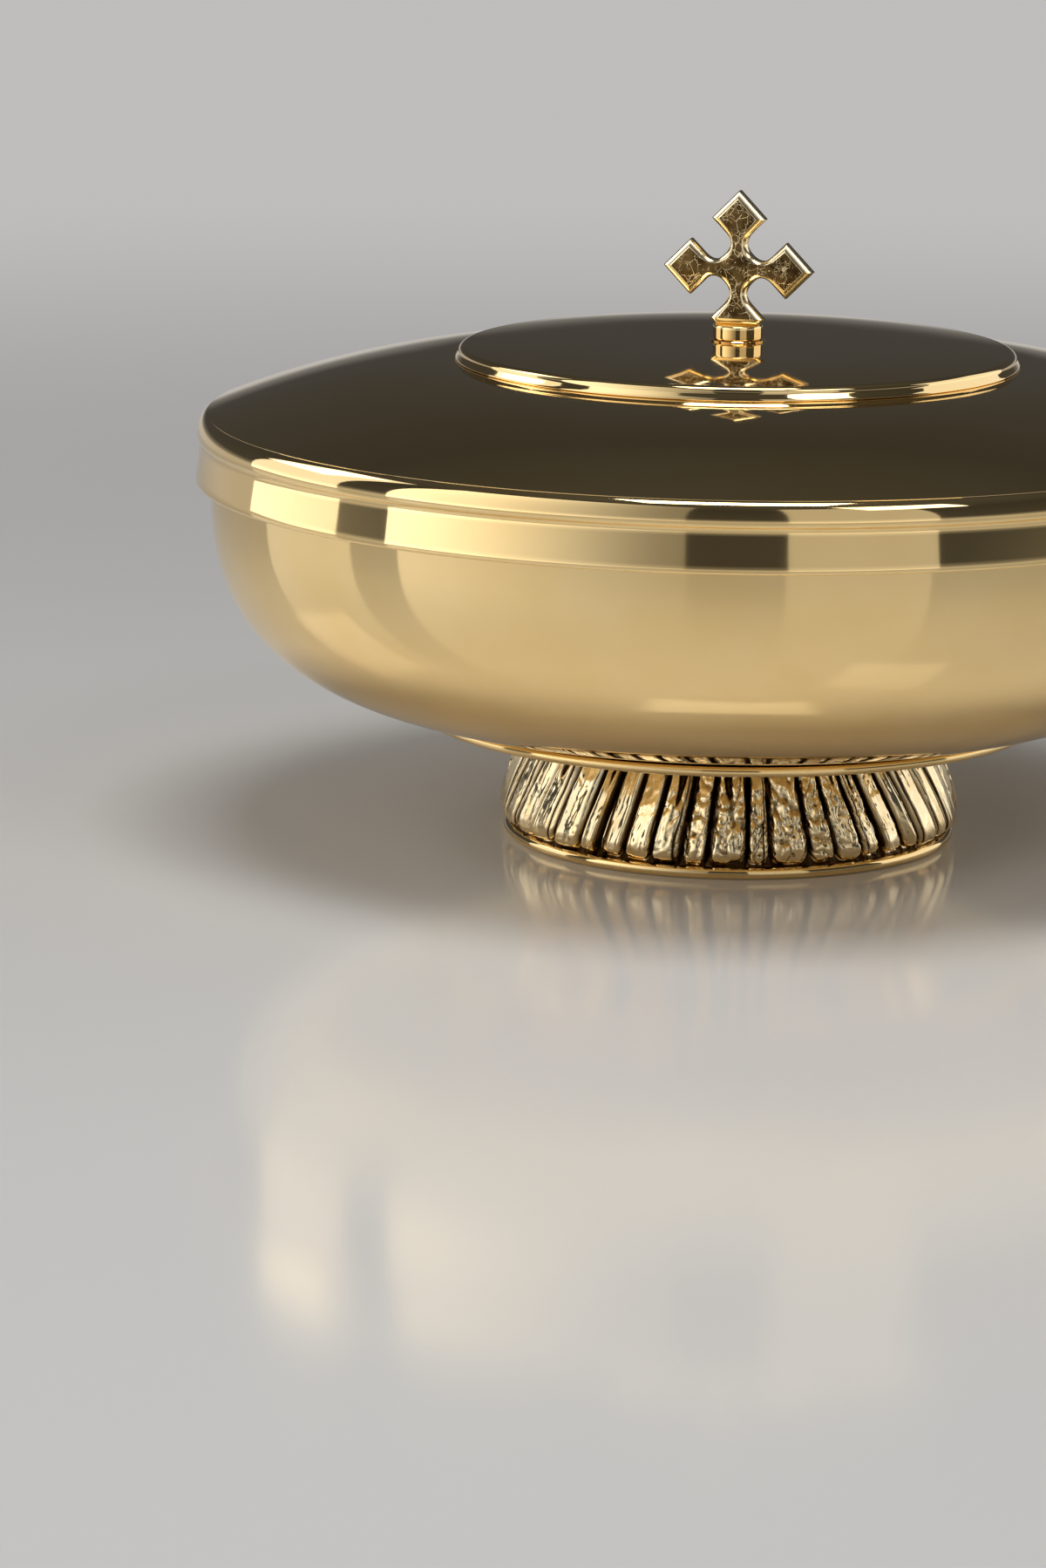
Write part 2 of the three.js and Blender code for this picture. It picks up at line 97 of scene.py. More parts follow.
# Ribs between the flutes. Lengths are in millimetres, and places across a rib are shares of its width.
RIB_SEED = 46
RIB_START = 0.24
RIB_TILT = 1.3
RIB_LIFT = 0.35
RIB_RAISE = 0.6
RIB_ROUGHNESS = 0.14
RIB_WANDER = 0.16
WORN_DIRECTION = 14
WORN_SPREAD = 30
FORKED_SHARE = 0.4
FORK_START = (0.25, 0.75)
FORK_FADE = 0.3
FORK_SHIFT = 0.16
FORK_DEPTH = 0.95
CREASE_PLACE = (0.22, 0.42)
CREASE_WIDTH = 0.035
CREASE_DEPTH = 0.22
SCALLOP = 1.9
LOW_EDGE_GAP = 0.12
LOW_EDGE_ROUND = 0.9
LOW_EDGE_TUCK = 0.8

# Clamp plate and fasteners
ROD_RADIUS = reach("tie_rod")
PLATE_THICKNESS = 1.5
PLATE_CROWN_RADIUS = 12
PLATE_RIM_RADIUS = 24
PLATE_PLAY = 0.2
THREAD_PLAY = 0.1
THREAD_DEPTH = 0.35
THREAD_CREST = (0.4, 0.55)
WASHER_EASE = 0.12
SPRING_RADIUS = 5.4
SPRING_COLUMNS = 72
SLIT_HALF = 0.12
SLIT_LEAN = 0.06
FOOT_NUT_WIDTH = 10
LID_NUT_WIDTH = 5.5
NUT_ROWS = 14
NUT_SINK = 0.35
NUT_CHAMFER = 0.1
NUT_CHAMFER_SLOPE = 0.55

# Flange and cup
FLANGE_RADIUS = reach("flange_plate")
FLANGE_TOP = high("flange_plate")
FLANGE_ROUND = 0.85
FLANGE_FLAT_RADIUS = FLANGE_RADIUS - 1.2
SPIGOT_BORE = 26.8
SPIGOT_RADIUS = 28.2
BOSS_RADIUS = reach("cup_boss")
CUP_RADIUS = reach("cup")
CUP_FLAT_RADIUS = 35.5
CUP_FLAT_STEPS = (0, 12, 24)
CUP_ROUND_TOP = 56.3
CUP_ROUNDNESS = 2.59
CUP_WALL = 1.2
CUP_MOUTH = high("cup")
RIM_RING_RADIUS = reach("cup_rim_ring")
RIM_RING_PLAY = 0.03
RIM_RING_ROUND = 0.45
RIM_RING_FOOT_ROUND = 0.5

# Lid
SKIRT_RADIUS = reach("lid_band")
SKIRT_BOTTOM = low("lid_band")
SKIRT_BORE = 83.9
SKIRT_LIP = 0.36
SKIRT_EASE = 0.3
SKIRT_FOOT = (SKIRT_RADIUS - 0.02, SKIRT_BOTTOM + 0.8)
SKIRT_TOP = (84.18, 62.5)
RIM_FLARE = [(84.18, 62.8), (84.24, 63.02)]
BEAD_FOOT = (84.35, 63.75)
BEAD_FOOT_ROUND = (0.45, 0.6)
BEAD_CENTRE = (82.9, 63.75)
BEAD_ROUND = (1.9, 3.25)
BEAD_START = 2
BEAD_END = 80.9
LID_SEAT = 63.6
LID_SEAT_BORE = 81
DOME_SEAT = low("lid_dome")
DOME_SEAT_RADIUS = 83.2
DOME_TOP = high("lid_dome")
DOME_FLAT_RADIUS = 44
DOME_REACH = 41
DOME_DROP = 9.3
DOME_CURVE = 1.8
DOME_WALL = 1
DOME_PLAY = 0.02
DOME_FOOT = 1.4
DOME_FLAT_STEPS = (16, 30)
DISC_RADIUS = reach("lid_disc")
DISC_TOP = high("lid_disc")
DISC_SHOULDER_RADIUS = 43.8
DISC_SHOULDER = DOME_TOP + 1.35
DISC_FOOT_ROUND = 0.2
DISC_EDGE_REACH = 1.08
DISC_EDGE_RISE = 0.8
DISC_CROWN = 1.05
DISC_CROWN_POWER = 4

# Finial
POST_RADIUS = reach("finial_post")
POST_BOTTOM = low("finial_post")
POST_TOP = high("finial_post")
POST_ROUND = 0.3
STUD_RADIUS = reach("finial_stud")
STUD_HOLE = STUD_RADIUS + 0.2
DIAMOND_HALF = 4.4
DIAMOND_SPACING = 7.85
NECK_REACH = 1.7
CROSS_CUT = 0.95
CROSS_THICKNESS = 2.6
CROSS_BEVEL = 1.0
CROSS_BEVEL_DEPTH = 0.75
BEVEL_START = math.radians(23)
BEVEL_END = math.radians(65)
BEVEL_STEPS = 6
NECK_BEVEL_SHARE = 0.6
NECK_HALF_LENGTH = 1.3
NECK_FADE = 2.5
HAND_EASE = 0.05
HAND_EASE_SCALE = 0.26
HAND_EASE_OFFSETS = ((3.1, 0.4, 1.7), (8.6, 7.3, 2.9), (5.2, 9.8, 11.5))
CROSS_TURN = math.radians(-18)

# Camera, fitted to the circles of the photograph
IMAGE_HEIGHT = 1799
FOCAL_PIXELS = 6660
SENSOR = 36
CAMERA_PLACE = (0, -0.9071, 0.2027)
CAMERA_YAW = math.radians(-2.074)
CAMERA_PITCH = math.radians(12.179)
CAMERA_ROLL = math.radians(0.725)

# Colours
GOLD = (0.91, 0.68, 0.34, 1)
GOLD_DEEP = (0.88, 0.635, 0.29, 1)
# Cross bevels: a paler gold than the plate's, as a painted highlight
BEVEL_HIGHLIGHT_GOLD = (1.0, 0.86, 0.58, 1)
BEVEL_HIGHLIGHT_GOLD_DEEP = (0.98, 0.8, 0.48, 1)
# Ribs: a pale gold, partly the casting's own tone and partly a painted highlight
RIB_GOLD_AND_HIGHLIGHT = (1.0, 0.83, 0.53, 1)
RIB_GOLD_DEEP = (0.9, 0.67, 0.34, 1)
# Painted shade for the foot band's grooves, splits, creases, veins and pits, and for its inner face
PAINTED_GROOVE_SHADE = (0.06, 0.03, 0.01, 1)
# Cross faces: dark brown as a painted dark reflection, mottled at random
FACE_DARK_REFLECTION = (0.15, 0.09, 0.03, 1)
FACE_DARK_REFLECTION_DEEP = (0.05, 0.028, 0.009, 1)
SCRATCH_GOLD = (0.97, 0.82, 0.52, 1)
BRASS = (0.66, 0.5, 0.24, 1)
BRASS_DULL = (0.5, 0.36, 0.15, 1)
STEEL = (0.6, 0.61, 0.62, 1)
STEEL_DULL = (0.46, 0.46, 0.45, 1)
FLOOR_PALE = (0.8, 0.79, 0.77, 1)
FLOOR_SHADE = (0.77, 0.76, 0.74, 1)
FAR_FLOOR = (0.52, 0.51, 0.5, 1)

# Greys of the world, from the horizon up
SKY = [(0.0, 0.4), (0.03, 0.2), (0.1, 0.06), (0.6, 0.045), (1.0, 0.08)]


# Mesh helpers

def arc(centre, radii, start, end, steps):
    """Points round an arc of an ellipse, angles in degrees from the outward direction."""
    points = []
    for i in range(steps + 1):
        turn = math.radians(start + (end - start) * i / steps)
        points.append((centre[0] + radii[0] * math.cos(turn), centre[1] + radii[1] * math.sin(turn)))
    return points


def line(start, end, steps):
    """Points along a straight stretch, both ends included."""
    return [
        (start[0] + (end[0] - start[0]) * i / steps, start[1] + (end[1] - start[1]) * i / steps)
        for i in range(steps + 1)
    ]


def new_object(name, verts, faces, sharp=32):
    """A smooth-shaded mesh object, with the edges above the sharp angle kept crisp."""
    mesh = bpy.data.meshes.new(name)
    mesh.from_pydata(verts, [], faces)
    mesh.validate()
    finish_mesh(mesh, sharp)
    made = bpy.data.objects.new(name, mesh)
    bpy.context.scene.collection.objects.link(made)
    return made


def finish_mesh(mesh, sharp):
    """Turns the faces outwards and shades them smooth up to the sharp angle."""
    work = bmesh.new()
    work.from_mesh(mesh)
    bmesh.ops.recalc_face_normals(work, faces=work.faces)
    work.to_mesh(mesh)
    work.free()
    mesh.shade_smooth()
    mesh.set_sharp_from_angle(angle=math.radians(sharp))
    mesh.update()


def turned(name, profile, columns, warp=None, sharp=32):
    """A solid turned about Z. It closes on the axis if the profile ends there, or else on its first point.

    A warp moves each point, given its direction, radius, height and place in the profile.
    """
    on_axis = profile[0][0] == 0
    verts, rows = [], []
    for index, (radius, height) in enumerate(profile):
        if radius == 0:
            rows.append([len(verts)] * columns)
            verts.append((0, 0, height * MM))
            continue
        rows.append(range(len(verts), len(verts) + columns))
        for column in range(columns):
            turn = 2 * math.pi * column / columns
            angle, r, z = warp(turn, radius, height, index) if warp else (turn, radius, height)
            verts.append((r * MM * math.cos(angle), r * MM * math.sin(angle), z * MM))
    faces = []
    pairs = list(zip(rows, rows[1:]))
    if not on_axis:
        pairs.append((rows[-1], rows[0]))
    for lower, upper in pairs:
        for column in range(columns):
            beside = (column + 1) % columns
            corners = [lower[column], lower[beside], upper[beside], upper[column]]
            faces.append(list(dict.fromkeys(corners)))
    return new_object(name, verts, faces, sharp)


def place(piece, body, node, slot, *materials):
    """Gives a piece its materials and its body, and hides the solid it stands for. The slot is not used."""
    for material in materials:
        piece.data.materials.append(material)
    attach(piece, body)
    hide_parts(node)


# Material helpers

class Shader:
    """Builds one node material."""

    def __init__(self, name):
        self.material = bpy.data.materials.new(name)
        self.material.use_nodes = True
        self.nodes = self.material.node_tree.nodes
        self.links = self.material.node_tree.links
        self.surface = self.nodes["Principled BSDF"]
        self.place = self.add("ShaderNodeTexCoord").outputs["Object"]

    def add(self, kind, inputs=None, **settings):
        """A node with its settings, and its inputs set to values or linked to sockets."""
        node = self.nodes.new(kind)
        for key, value in settings.items():
            setattr(node, key, value)
        for key, value in (inputs or {}).items():
            if isinstance(value, bpy.types.NodeSocket):
                self.links.new(value, node.inputs[key])
            else:
                node.inputs[key].default_value = value
        return node

    def set(self, **inputs):
        """Sets or links the surface's sockets, named with underscores for spaces."""
        for key, value in inputs.items():
            socket = self.surface.inputs[key.replace("_", " ")]
            if isinstance(value, bpy.types.NodeSocket):
                self.links.new(value, socket)
            else:
                socket.default_value = value

    def math(self, operation, first, second=0.0):
        """A sum, product or other result of two values."""
        return self.add("ShaderNodeMath", {0: first, 1: second}, operation=operation).outputs[0]

    def fit(self, value, from_low, from_high, to_low, to_high):
        """A value carried from one range to another, and held inside it."""
        return self.add(
            "ShaderNodeMapRange",
            {0: value, 1: from_low, 2: from_high, 3: to_low, 4: to_high},
        ).outputs[0]

    def noise(self, scale, detail=2.0, stretch=(1, 1, 1), turn=(0, 0, 0), where=None, roughness=0.5):
        """Noise in object space, in features per metre."""
        mapping = self.add(
            "ShaderNodeMapping",
            {"Vector": where or self.place, "Scale": stretch, "Rotation": turn},
        )
        return self.add(
            "ShaderNodeTexNoise",
            {"Vector": mapping.outputs[0], "Scale": scale, "Detail": detail, "Roughness": roughness},
        ).outputs[0]

    def mix(self, share, first, second):
        """A colour between two colours."""
        node = self.add("ShaderNodeMix", data_type="RGBA")
        for index, value in ((0, share), (6, first), (7, second)):
            if isinstance(value, bpy.types.NodeSocket):
                self.links.new(value, node.inputs[index])
            else:
                node.inputs[index].default_value = value
        return node.outputs[2]

    def bump(self, height, strength, distance):
        """A normal from a height."""
        settings = {"Height": height, "Strength": strength, "Distance": distance}
        return self.add("ShaderNodeBump", settings).outputs[0]

    def hairlines(self, turns, scale, width, cover):
        """Fine scratches in several directions, 1 on a scratch and 0 off it."""
        total = 0.0
        for i, turn in enumerate(turns):
            offset = 3.7 * (i + 1)
            shifted = self.add(
                "ShaderNodeMapping",
                {"Vector": self.place, "Location": (offset, offset * 0.6, offset * 0.3)},
            ).outputs[0]
            field = self.noise(scale, 1.0, (1, 1, 14), turn, shifted)
            near = self.math("ABSOLUTE", self.math("SUBTRACT", field, 0.5))
            thin = self.fit(near, 0.0, width, 1.0, 0.0)
            patches = self.noise(scale * 0.4, 1.0, where=shifted)
            patch = self.fit(patches, 0.62 - cover, 0.7 - cover, 0.0, 1.0)
            total = self.math("MAXIMUM", total, self.math("MULTIPLY", thin, patch))
        return total


def polished_gold(name, bright, deep, softness=0.0):
    """Gold plate with a mirror polish, a little haze and a few hairlines. Softness is added roughness."""
    look = Shader(name)
    haze = look.noise(38, 4.0, roughness=0.6)
    lines = look.hairlines([(0.3, 0.2, 0.1), (1.2, 0.5, 0.9)], 260, 0.006, 0.1)
    warm = look.mix(look.fit(haze, 0.35, 0.65, 0, 1), bright, deep)
    even = look.fit(haze, 0.3, 0.75, 0.03 + softness, 0.085 + softness)
    rough = look.math("ADD", even, look.math("MULTIPLY", lines, 0.07))
    look.set(Base_Color=warm, Metallic=1.0, Roughness=rough)
    look.set(Normal=look.bump(look.noise(46, 2.0), 0.05, 0.0004))
    return look.material


def cast_gold():
    """Gold plate on a rough casting: ribs in a pale gold that is partly the casting's own tone and partly a
    painted highlight, and painted shade in the grooves, splits, creases and pits.
    """
    look = Shader("cast_gold")
    groove = look.add("ShaderNodeAttribute", attribute_name="groove").outputs["Fac"]
    coarse = look.add("ShaderNodeAttribute", attribute_name="coarse").outputs["Fac"]
    wrinkle = look.noise(620, 5.0, (1, 1, 0.35), roughness=0.62)
    pits = look.add("ShaderNodeTexVoronoi", {"Vector": look.place, "Scale": 800.0}).outputs["Distance"]
    pit = look.fit(pits, 0.08, 0.34, 1.0, 0.0)
    pitted = look.math("ADD", look.noise(160, 3.0), look.math("MULTIPLY", coarse, 0.2))
    pit = look.math("MULTIPLY", pit, look.fit(pitted, 0.56, 0.68, 0.0, 1.0))
    # Painted shade: the grooves, splits, creases, sunk veins and pits are darkened towards brown
    dark = look.math("MAXIMUM", look.fit(groove, 0.14, 0.5, 0.0, 1.0), look.math("MULTIPLY", pit, 0.85))
    # The ribs' pale gold is partly a painted highlight, and the wrinkles shift its tone at random
    tint = look.mix(look.fit(wrinkle, 0.35, 0.68, 0.0, 1.0), RIB_GOLD_AND_HIGHLIGHT, RIB_GOLD_DEEP)
    look.set(Base_Color=look.mix(dark, tint, PAINTED_GROOVE_SHADE), Metallic=1.0)
    uneven = look.fit(wrinkle, 0.3, 0.75, 0.05, 0.18)
    look.set(Roughness=look.math("ADD", uneven, look.math("MULTIPLY", dark, 0.25)))
    height = look.math("SUBTRACT", look.math("MULTIPLY", wrinkle, 0.8), look.math("MULTIPLY", pit, 0.8))
    relief = look.math("MULTIPLY", height, look.fit(coarse, 0.1, 1.0, 0.14, 1.0))
    look.set(Normal=look.bump(relief, 0.6, 0.00035))
    return look.material


def scratched_gold():
    """The cross's faces: gold plate coloured dark brown for a painted dark reflection, under a bright
    network of short curling scratches.
    """
    look = Shader("scratched_gold")
    wander = {"Vector": look.place, "Scale": 700.0, "Detail": 2.0}
    drift = look.add("ShaderNodeTexNoise", wander).outputs["Color"]
    shift = look.add("ShaderNodeVectorMath", {0: drift, "Scale": 0.0009}, operation="SCALE").outputs[0]
    curled = look.add("ShaderNodeVectorMath", {0: look.place, 1: shift}, operation="ADD").outputs[0]
    marks = 0.0
    networks = ((480.0, 0.03, 300, 0.5), (900.0, 0.045, 420, 0.5), (1700.0, 0.06, 500, 0.56))
    for scale, width, patch_scale, cover in networks:
        cells = {"Vector": curled, "Scale": scale}
        edge = look.add("ShaderNodeTexVoronoi", cells, feature="DISTANCE_TO_EDGE").outputs["Distance"]
        thin = look.fit(edge, 0.0, width, 1.0, 0.0)
        patch = look.fit(look.noise(patch_scale, 2.0), cover, cover + 0.09, 0.0, 1.0)
        marks = look.math("MAXIMUM", marks, look.math("MULTIPLY", thin, patch))
    specks = look.fit(look.noise(3000, 1.0), 0.7, 0.76, 0.0, 0.8)
    marks = look.math("MAXIMUM", marks, specks)
    mottle = look.noise(260, 4.0, roughness=0.65)
    # Painted dark reflection: the faces' base colour is dark brown, mottled at random
    body = look.mix(look.fit(mottle, 0.38, 0.62, 0.0, 1.0), FACE_DARK_REFLECTION, FACE_DARK_REFLECTION_DEEP)
    look.set(Base_Color=look.mix(marks, body, SCRATCH_GOLD), Metallic=1.0)
    uneven = look.fit(mottle, 0.3, 0.7, 0.18, 0.34)
    look.set(Roughness=look.math("ADD", uneven, look.math("MULTIPLY", marks, 0.15)))
    height = look.math("ADD", look.math("MULTIPLY", mottle, 0.5), look.math("MULTIPLY", marks, -0.9))
    look.set(Normal=look.bump(height, 0.5, 0.00012))
    return look.material


def turned_metal(name, bright, dull, rough_low, rough_high, line_scale):
    """Lathe-turned metal, with fine rings about the axis and a dull bloom."""
    look = Shader(name)
    x, y, z = look.add("ShaderNodeSeparateXYZ", {0: look.place}).outputs
    squares = look.math("ADD", look.math("MULTIPLY", x, x), look.math("MULTIPLY", y, y))
    along = look.math("ADD", look.math("SQRT", squares), look.math("MULTIPLY", z, 0.7))
    tool_marks = {"W": along, "Scale": line_scale, "Detail": 3.0}
    rings = look.add("ShaderNodeTexNoise", tool_marks, noise_dimensions="1D").outputs[0]
    bloom = look.noise(90, 4.0, roughness=0.65)
    look.set(Base_Color=look.mix(look.fit(bloom, 0.35, 0.7, 0.0, 1.0), bright, dull), Metallic=1.0)
    uneven = look.fit(bloom, 0.3, 0.7, rough_low, rough_high)
    look.set(Roughness=look.math("ADD", uneven, look.math("MULTIPLY", rings, 0.1)))
    look.set(Normal=look.bump(rings, 0.35, 0.00006))
    return look.material


# Foot

def build_base_ring():
    """The smooth ring that stands on the table, with a seat for the band and a lip for the clamp plate."""
    edge = RING_RADIUS - RING_ROUND
    profile = [(RING_BORE, RING_CHAMFER), (RING_BORE + RING_CHAMFER, 0)]
    profile += line((RING_BORE + 2 * RING_CHAMFER, 0), (edge, 0), 3)
    profile += arc((edge, RING_ROUND), (RING_ROUND, RING_ROUND), -84, 84, 14)
    profile += [(RING_SEAT_RADIUS, RING_SEAT), (BAND_BORE - THREAD_PLAY, RING_SEAT)]
    profile += [(BAND_BORE - THREAD_PLAY, RING_TOP), (RING_LIP_BORE, RING_TOP)]
    profile += [(RING_LIP_BORE, RING_LIP_UNDERSIDE), (RING_BORE, RING_LIP_UNDERSIDE)]
    return turned("base_ring_look", profile, MIRROR_SMOOTH)


def band_radius(height):
    """The band's outer radius at a height, before its flutes."""
    if height < BAND_WIDEST_HEIGHT:
        below = (BAND_WIDEST_HEIGHT - height) / (BAND_WIDEST_HEIGHT - RING_SEAT - BAND_TUCK_RISE)
        return BAND_WIDEST - BAND_TUCK * below**2
    above = (height - BAND_WIDEST_HEIGHT) / (BAND_TOP - BAND_WIDEST_HEIGHT)
    return BAND_WIDEST - (BAND_WIDEST - BAND_TOP_RADIUS) * above**BAND_CURVE


def flute_angle(turn, height):
    """Direction of a flute at a height: uneven widths, and feet that fan out to both sides."""
    uneven = 0.02 * math.sin(5 * turn + 1) + 0.011 * math.sin(11 * turn + 0.4)
    fan = 0.03 * math.sin(3 * turn) - FLUTE_FAN * math.cos(turn)
    return turn + uneven + fan * (height - RING_SEAT) / (BAND_TOP - RING_SEAT)


def draw_ribs():
    """The ribs, which differ in width, tilt, depth, length, roughness, fork and crease."""
    rng = random.Random(RIB_SEED)
    ribs = []
    for number in range(FLUTE_COUNT):
        from_front = (number + 0.5) / FLUTE_COUNT * 360 - 270
        worn = math.exp(-(((from_front - WORN_DIRECTION) / WORN_SPREAD) ** 4))
        ribs.append({
            "start": rng.uniform(-RIB_START, RIB_START),
            "tilt": rng.uniform(-RIB_TILT, RIB_TILT),
            "lift": rng.uniform(0, RIB_LIFT),
            "raise": rng.uniform(0, RIB_RAISE),
            "rough": min(1.0, RIB_ROUGHNESS * rng.random() + (1 - RIB_ROUGHNESS) * worn),
            "fork": rng.uniform(*FORK_START) if rng.random() < FORKED_SHARE else None,
            "shift": rng.uniform(-FORK_SHIFT, FORK_SHIFT),
            "crease": rng.uniform(*CREASE_PLACE) * rng.choice((-1, 1)),
        })
    return ribs


def rib_at(ribs, turn):
    """The number of the rib at a direction, and the place across it from 0 to 1."""
    def begins(number):
        return number + ribs[number % FLUTE_COUNT]["start"]

    at = turn * FLUTE_COUNT / (2 * math.pi)
    number = int(at)
    if at < begins(number):
        number -= 1
    elif at >= begins(number + 1):
        number += 1
    return number % FLUTE_COUNT, (at - begins(number)) / (begins(number + 1) - begins(number))


def fork_at(rib, across, share):
    """How far a rib has split at a height, and how much of the split shows at a place across it."""
    if not rib["fork"]:
        return 0.0, 0.0
    opened = min(1.0, max(0.0, (share - rib["fork"]) / FORK_FADE))
    width = 0.045 + 0.1 * opened
    shown = math.exp(-(((across - 0.5 - rib["shift"]) / width) ** 4)) * min(1.0, opened * 3)
    return opened, shown


def casting_at(turn, share):
    """The rough skin of the casting at a place: its wrinkles, its veins and its upright streaks."""
    skin = Vector((math.cos(turn) * 30, math.sin(turn) * 30, share * 9))
    wrinkle = noise.fractal(skin, 0.9, 2.1, 3)
    vein = 1 - abs(noise.noise(skin * 0.55 + Vector((7, 0, 0)))) * 5
    streak = noise.fractal(Vector((math.cos(turn) * 24, math.sin(turn) * 24, share * 1.3)), 0.8, 2.0, 2)
    return wrinkle, max(0.0, vein) ** 2, streak


def build_foot_band():
    """The cast ring, carved with ribs and grooves. Each point keeps its share of painted shade and how
    coarse it is.
    """
    ribs = draw_ribs()
    groove_shade_of, coarse_of = [], []

    def carve(turn, radius, height, index):
        """Moves a point of the ring's outer face, or turns a point of its inner face with the flutes."""
        if index > FLUTE_ROWS:
            # The inner face is painted fully in shade
            groove_shade_of.append(1.0)
            coarse_of.append(0.3)
            return flute_angle(turn, height), radius, height
        share = index / FLUTE_ROWS
        number, across = rib_at(ribs, turn)
        rib = ribs[number]
        wander = RIB_WANDER * noise.noise(Vector((number * 3.1, share * 2.2, 4.0)))
        across = min(1.0, max(0.0, across + wander * math.sin(math.pi * across)))
        edge = min(across, 1 - across) * 2
        groove = 0.29 + 0.1 * rib["rough"] + 0.17 * abs(math.cos(turn)) ** 3
        plateau = min(1.0, edge / groove) ** 0.55
        around = Vector((math.cos(turn), math.sin(turn), 0)) * 11
        uneven = 1.0 + 0.5 * noise.noise(around + Vector((0, 0, share * 2)))
        sink = FLUTE_DEPTH * (1 - plateau) * uneven
        sink += (rib["lift"] + 0.4 * abs(rib["tilt"]) - rib["tilt"] * (across - 0.5)) * plateau
        opened, split = fork_at(rib, across, share)
        sink += FORK_DEPTH * split * opened**0.5
        line_at = 0.5 + rib["crease"] + 0.05 * noise.noise(Vector((number * 1.7, share * 3.0, 9.0)))
        crease = math.exp(-(((across - line_at) / CREASE_WIDTH) ** 2)) * plateau
        sink += CREASE_DEPTH * crease
        wrinkle, vein, streak = casting_at(turn, share)
        sink += (0.015 + 0.34 * rib["rough"]) * wrinkle + 0.13 * streak
        sink += 0.4 * rib["rough"] * vein * plateau
        bottom = RING_SEAT + LOW_EDGE_GAP + rib["raise"] * plateau
        bottom += SCALLOP * (1 - plateau) + 0.5 * (1 - edge) ** 2
        height = bottom + (BAND_TOP - bottom) * share
        roll = min(1.0, (height - bottom) / LOW_EDGE_ROUND)
        radius = band_radius(height) - sink - LOW_EDGE_TUCK * (1 - math.sqrt(1 - (1 - roll) ** 2))
        # Painted shade: the grooves, splits, creases and sunk veins get their share of darkening
        groove_shade_of.append(min(1.0, max((1 - plateau) * 1.15, split, crease * 0.8, vein * rib["rough"] * 0.5)))
        coarse_of.append(rib["rough"])
        return flute_angle(turn, height), min(radius, BAND_WIDEST), height

    # The outer face's points get their radius and height from carve
    profile = [(BAND_WIDEST, BAND_TOP)] * (FLUTE_ROWS + 1)
    profile += [(BAND_BORE_TOP, BAND_TOP), (BAND_BORE, BAND_BORE_KNEE), (BAND_BORE, RING_SEAT)]
    profile += [(RING_SEAT_RADIUS - 0.4, RING_SEAT)]
    band = turned("foot_band_look", profile, FLUTE_COUNT * FLUTE_COLUMNS, carve, sharp=60)
    # The groove attribute carries the painted shade
    for name, values in (("groove", groove_shade_of), ("coarse", coarse_of)):
        band.data.attributes.new(name, "FLOAT", "POINT").data.foreach_set("value", values)
    return band


def build_clamp_plate():
    """A dished plate: a crown round the rod, a cone, and a rim that bears on the base ring's lip."""
    under = high("foot_clamp_plate") - PLATE_THICKNESS
    rim_top = RING_LIP_UNDERSIDE
    rim_under = rim_top - PLATE_THICKNESS
    bore = ROD_RADIUS + THREAD_PLAY
    rim = RING_BORE - PLATE_PLAY
    profile = line((bore, under), (PLATE_CROWN_RADIUS - 1, under), 4)
    profile += [(PLATE_CROWN_RADIUS - 0.3, under - 0.06), (PLATE_CROWN_RADIUS + 0.5, under - 0.42)]
    profile += line((PLATE_CROWN_RADIUS + 1, under - 0.75), (PLATE_RIM_RADIUS - 0.8, rim_under + 0.5), 8)
    profile += [(PLATE_RIM_RADIUS, rim_under + 0.1), (PLATE_RIM_RADIUS + 0.8, rim_under)]
    profile += [(rim - 0.2, rim_under), (rim, rim_under + 0.2), (rim, rim_top)]
    profile += [(PLATE_RIM_RADIUS + 0.8, rim_top), (PLATE_CROWN_RADIUS + 0.8, under + PLATE_THICKNESS)]
    profile += [(bore, under + PLATE_THICKNESS)]
    return turned("foot_clamp_plate_look", profile, SMOOTH, sharp=25)


def thread_profile(radius, bottom, top, chamfer, pitch):
    """A rod's profile with fine rings for a thread and chamfered ends."""
    root = radius - pitch * THREAD_DEPTH
    points = [(0, bottom), (radius - chamfer, bottom)]
    height = bottom + chamfer
    while height + pitch < top - chamfer:
        points += [(root, height)] + [(radius, height + pitch * share) for share in THREAD_CREST]
        height += pitch
    return points + [(root, height), (radius - chamfer, top), (0, top)]


def washer(node, bore):
    """A flat washer of a solid's size, with eased edges."""
    radius, bottom, top, ease = reach(node), low(node), high(node), WASHER_EASE
    profile = [
        (bore, bottom + ease), (bore + ease, bottom), (radius - ease, bottom), (radius, bottom + ease),
        (radius, top - ease), (radius - ease, top), (bore + ease, top), (bore, top - ease),
    ]
    return turned(node + "_look", profile, SMALL)


def nut(node, width, bore):
    """A hexagonal nut with chamfered corners and a countersunk bore."""
    bottom, top = low(node), high(node)
    corner = width / math.sqrt(3)

    def hexagon(turn, radius, height, index):
        """Draws the wall in to the flats and the chamfers. The bore stays round."""
        if radius < corner:
            return turn, radius, height
        from_corner = (turn + math.pi / 6) % (math.pi / 3) - math.pi / 6
        flat = width / 2 / math.cos(math.pi / 6 - abs(from_corner))
        from_end = min(height - bottom, top - height)
        return turn, min(flat, width / 2 - NUT_CHAMFER + from_end / NUT_CHAMFER_SLOPE), height

    profile = [(bore, bottom + NUT_SINK), (bore + NUT_SINK, bottom)]
    profile += [(corner, bottom + (top - bottom) * (i / NUT_ROWS)) for i in range(NUT_ROWS + 1)]
    profile += [(bore + NUT_SINK, top), (bore, top - NUT_SINK)]
    return turned(node + "_look", profile, NUT_COLUMNS, hexagon, sharp=22)


